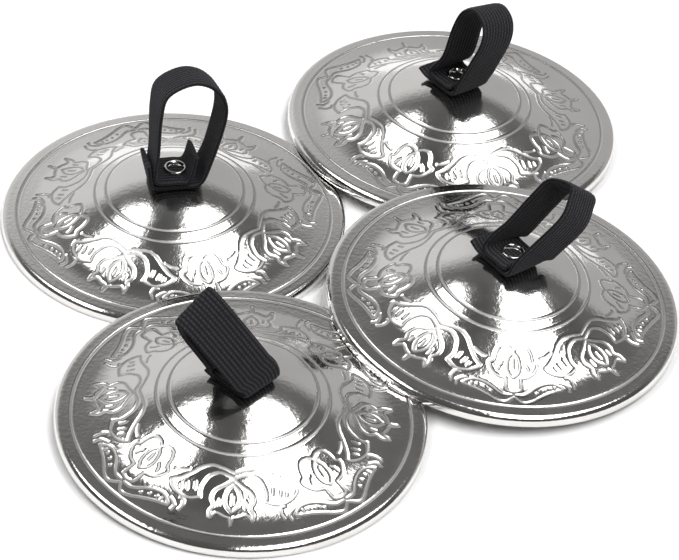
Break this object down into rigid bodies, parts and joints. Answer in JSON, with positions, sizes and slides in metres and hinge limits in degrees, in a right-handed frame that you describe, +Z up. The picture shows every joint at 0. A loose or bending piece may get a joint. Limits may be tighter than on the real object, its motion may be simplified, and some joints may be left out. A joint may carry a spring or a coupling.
{
  "type": "finger cymbals",
  "caption": "Engraved bell-shaped finger cymbals in a loose pile, each with an elastic finger loop that swivels and folds on a hollow eyelet.",
  "frame": {"origin": "middle of the pile on the table: under the centre of the bounding box, at the rim plane of the lowest disc", "axes": "+Z up; +Y away from the viewer of the picture, +X to that viewer's right"},
  "size_m": [0.1172, 0.1448, 0.0299],
  "materials": {
    "plated_disc": "nickel-plated sheet, soft polish with a fine orange-peel grain, engraved flowers and ring grooves",
    "eyelet_metal": "nickel-plated, drawn smooth, slightly worn at the rolled edge",
    "washer_metal": "plain punched washer, fine turning marks",
    "elastic_webbing": "black woven elastic with lengthwise ribs and pale rubber cores at the cut ends"
  },
  "bodies": {
    "back_left_cymbal": {"cymbal_back_left": "plated_disc", "eyelet_back_left": "eyelet_metal", "washer_back_left": "washer_metal"},
    "back_left_foot": {"loop_foot_back_left": "elastic_webbing"},
    "back_left_loop": {"loop_arch_back_left": "elastic_webbing"},
    "back_right_cymbal": {"cymbal_back_right": "plated_disc", "eyelet_back_right": "eyelet_metal", "washer_back_right": "washer_metal"},
    "back_right_foot": {"loop_foot_back_right": "elastic_webbing"},
    "back_right_loop": {"loop_arch_back_right": "elastic_webbing"},
    "front_left_cymbal": {"cymbal_front_left": "plated_disc", "eyelet_front_left": "eyelet_metal", "washer_front_left": "washer_metal"},
    "front_left_foot": {"loop_foot_front_left": "elastic_webbing"},
    "front_left_loop": {"loop_arch_front_left": "elastic_webbing"},
    "front_right_cymbal": {"cymbal_front_right": "plated_disc", "eyelet_front_right": "eyelet_metal", "washer_front_right": "washer_metal"},
    "front_right_foot": {"loop_foot_front_right": "elastic_webbing"},
    "front_right_loop": {"loop_arch_front_right": "elastic_webbing"}
  },
  "joints": [
    {"name": "lift_back_right", "type": "slide", "parent": "back_left_cymbal", "child": "back_right_cymbal", "axis": [0, 0, 1], "range_m": [0, 0.06]},
    {"name": "lift_front_left", "type": "slide", "parent": "back_right_cymbal", "child": "front_left_cymbal", "axis": [0, 0, 1], "range_m": [0, 0.06]},
    {"name": "lift_front_right", "type": "slide", "parent": "front_left_cymbal", "child": "front_right_cymbal", "axis": [0, 0, 1], "range_m": [0, 0.06]},
    {"name": "swivel_back_left", "type": "hinge", "parent": "back_left_cymbal", "child": "back_left_foot", "pos_m": [-0.02861, 0.01029, 0.01146], "axis": [0, 0, 1], "continuous": true},
    {"name": "lean_back_left", "type": "hinge", "parent": "back_left_foot", "child": "back_left_loop", "pos_m": [-0.02861, 0.01029, 0.01146], "axis": [0.9744, 0.225, 0], "range_deg": [-38, 62]},
    {"name": "swivel_back_right", "type": "hinge", "parent": "back_right_cymbal", "child": "back_right_foot", "pos_m": [0.0196, 0.04267, 0.01256], "axis": [0.0257, 0.0267, 0.9993], "continuous": true},
    {"name": "lean_back_right", "type": "hinge", "parent": "back_right_foot", "child": "back_right_loop", "pos_m": [0.0196, 0.04267, 0.01256], "axis": [0.6361, -0.7716, 0.0043], "range_deg": [-38, 62]},
    {"name": "swivel_front_left", "type": "hinge", "parent": "front_left_cymbal", "child": "front_left_foot", "pos_m": [-0.01291, -0.04283, 0.01285], "axis": [0.0224, -0.041, 0.9989], "continuous": true},
    {"name": "lean_front_left", "type": "hinge", "parent": "front_left_foot", "child": "front_left_loop", "pos_m": [-0.01291, -0.04283, 0.01285], "axis": [0.7656, -0.6419, -0.0435], "range_deg": [-75, 25]},
    {"name": "swivel_front_right", "type": "hinge", "parent": "front_right_cymbal", "child": "front_right_foot", "pos_m": [0.02937, -0.01006, 0.01431], "axis": [0.0665, -0.0307, 0.9973], "continuous": true},
    {"name": "lean_front_right", "type": "hinge", "parent": "front_right_foot", "child": "front_right_loop", "pos_m": [0.02937, -0.01006, 0.01431], "axis": [0.6472, -0.7594, -0.0666], "range_deg": [-10, 90]}
  ]
}
